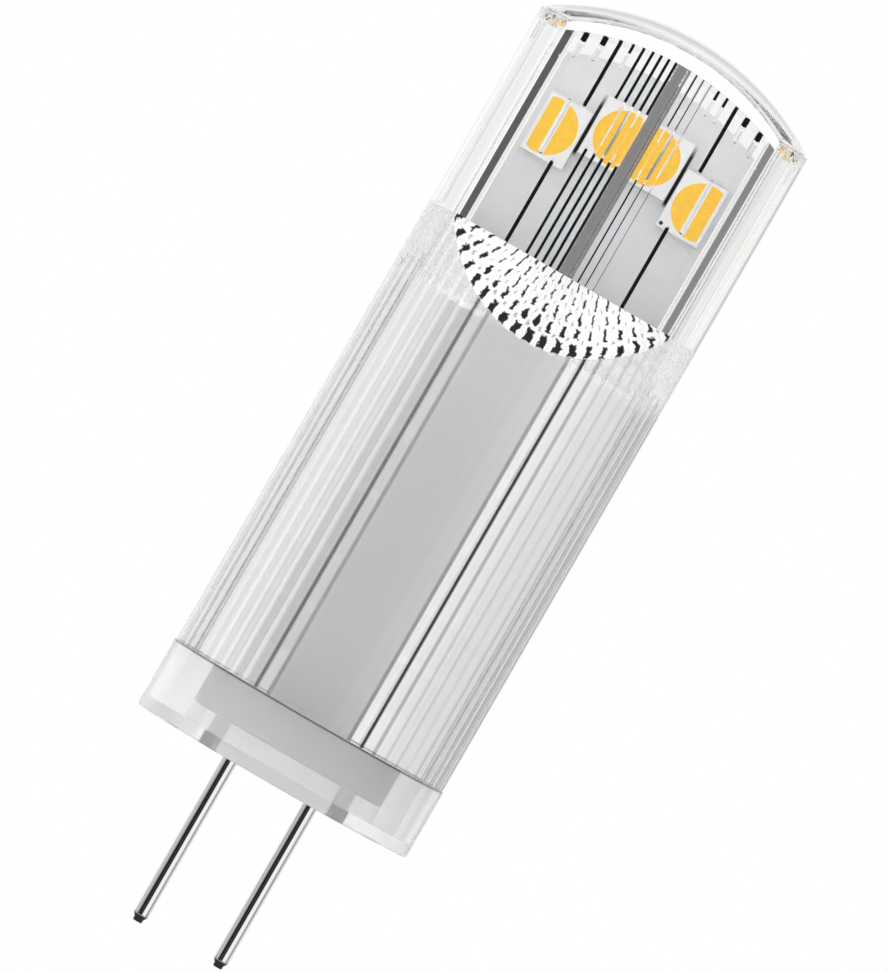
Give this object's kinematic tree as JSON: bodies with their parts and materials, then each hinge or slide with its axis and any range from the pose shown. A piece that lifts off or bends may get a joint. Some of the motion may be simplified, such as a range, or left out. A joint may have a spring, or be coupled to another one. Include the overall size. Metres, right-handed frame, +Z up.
{
  "type": "bi-pin led bulb",
  "caption": "Small clear LED lamp: a ribbed round cover with two flat windows and a domed top, LEDs on an upright board inside, and two contact pins under its base.",
  "frame": {"origin": "centre of the base's underside, the face that meets the socket, midway between the pins", "axes": "+Z up the lamp's axis towards its dome, X through both pins, the pictured face towards -Y"},
  "size_m": [0.0134, 0.0134, 0.0453],
  "materials": {
    "clear_plastic": "clear, polished, injection moulded",
    "clear_silicone": "clear cast filling",
    "base_plastic": "clear moulding, faintly frosted",
    "carrier_plastic": "translucent grey moulding",
    "board_white": "white solder mask",
    "pin_metal": "polished nickel plate",
    "led_white": "white package",
    "phosphor": "amber phosphor in clear resin",
    "chip_black": "black moulded package",
    "choke_grey": "grey moulded ferrite",
    "capacitor_ceramic": "tan ceramic, tinned ends",
    "resistor_black": "black film, tinned ends"
  },
  "bodies": {
    "root": {"clear_cover": "clear_plastic", "clear_filling": "clear_silicone", "lamp_base": "base_plastic", "pin_carrier": "carrier_plastic", "circuit_board": "board_white", "pin_left": "pin_metal", "pin_right": "pin_metal", "driver_chip": "chip_black", "choke": "choke_grey", "input_capacitor": "capacitor_ceramic", "output_capacitor": "capacitor_ceramic", "sense_resistor": "resistor_black", "led_package_front_1": "led_white", "led_phosphor_front_1": "phosphor", "led_package_front_2": "led_white", "led_phosphor_front_2": "phosphor", "led_package_front_3": "led_white", "led_phosphor_front_3": "phosphor", "led_package_front_4": "led_white", "led_phosphor_front_4": "phosphor", "led_package_rear_1": "led_white", "led_phosphor_rear_1": "phosphor", "led_package_rear_2": "led_white", "led_phosphor_rear_2": "phosphor", "led_package_rear_3": "led_white", "led_phosphor_rear_3": "phosphor", "led_package_rear_4": "led_white", "led_phosphor_rear_4": "phosphor", "rectifier_diode_1": "chip_black", "rectifier_diode_2": "chip_black", "rectifier_diode_3": "chip_black", "rectifier_diode_4": "chip_black"}
  },
  "joints": []
}
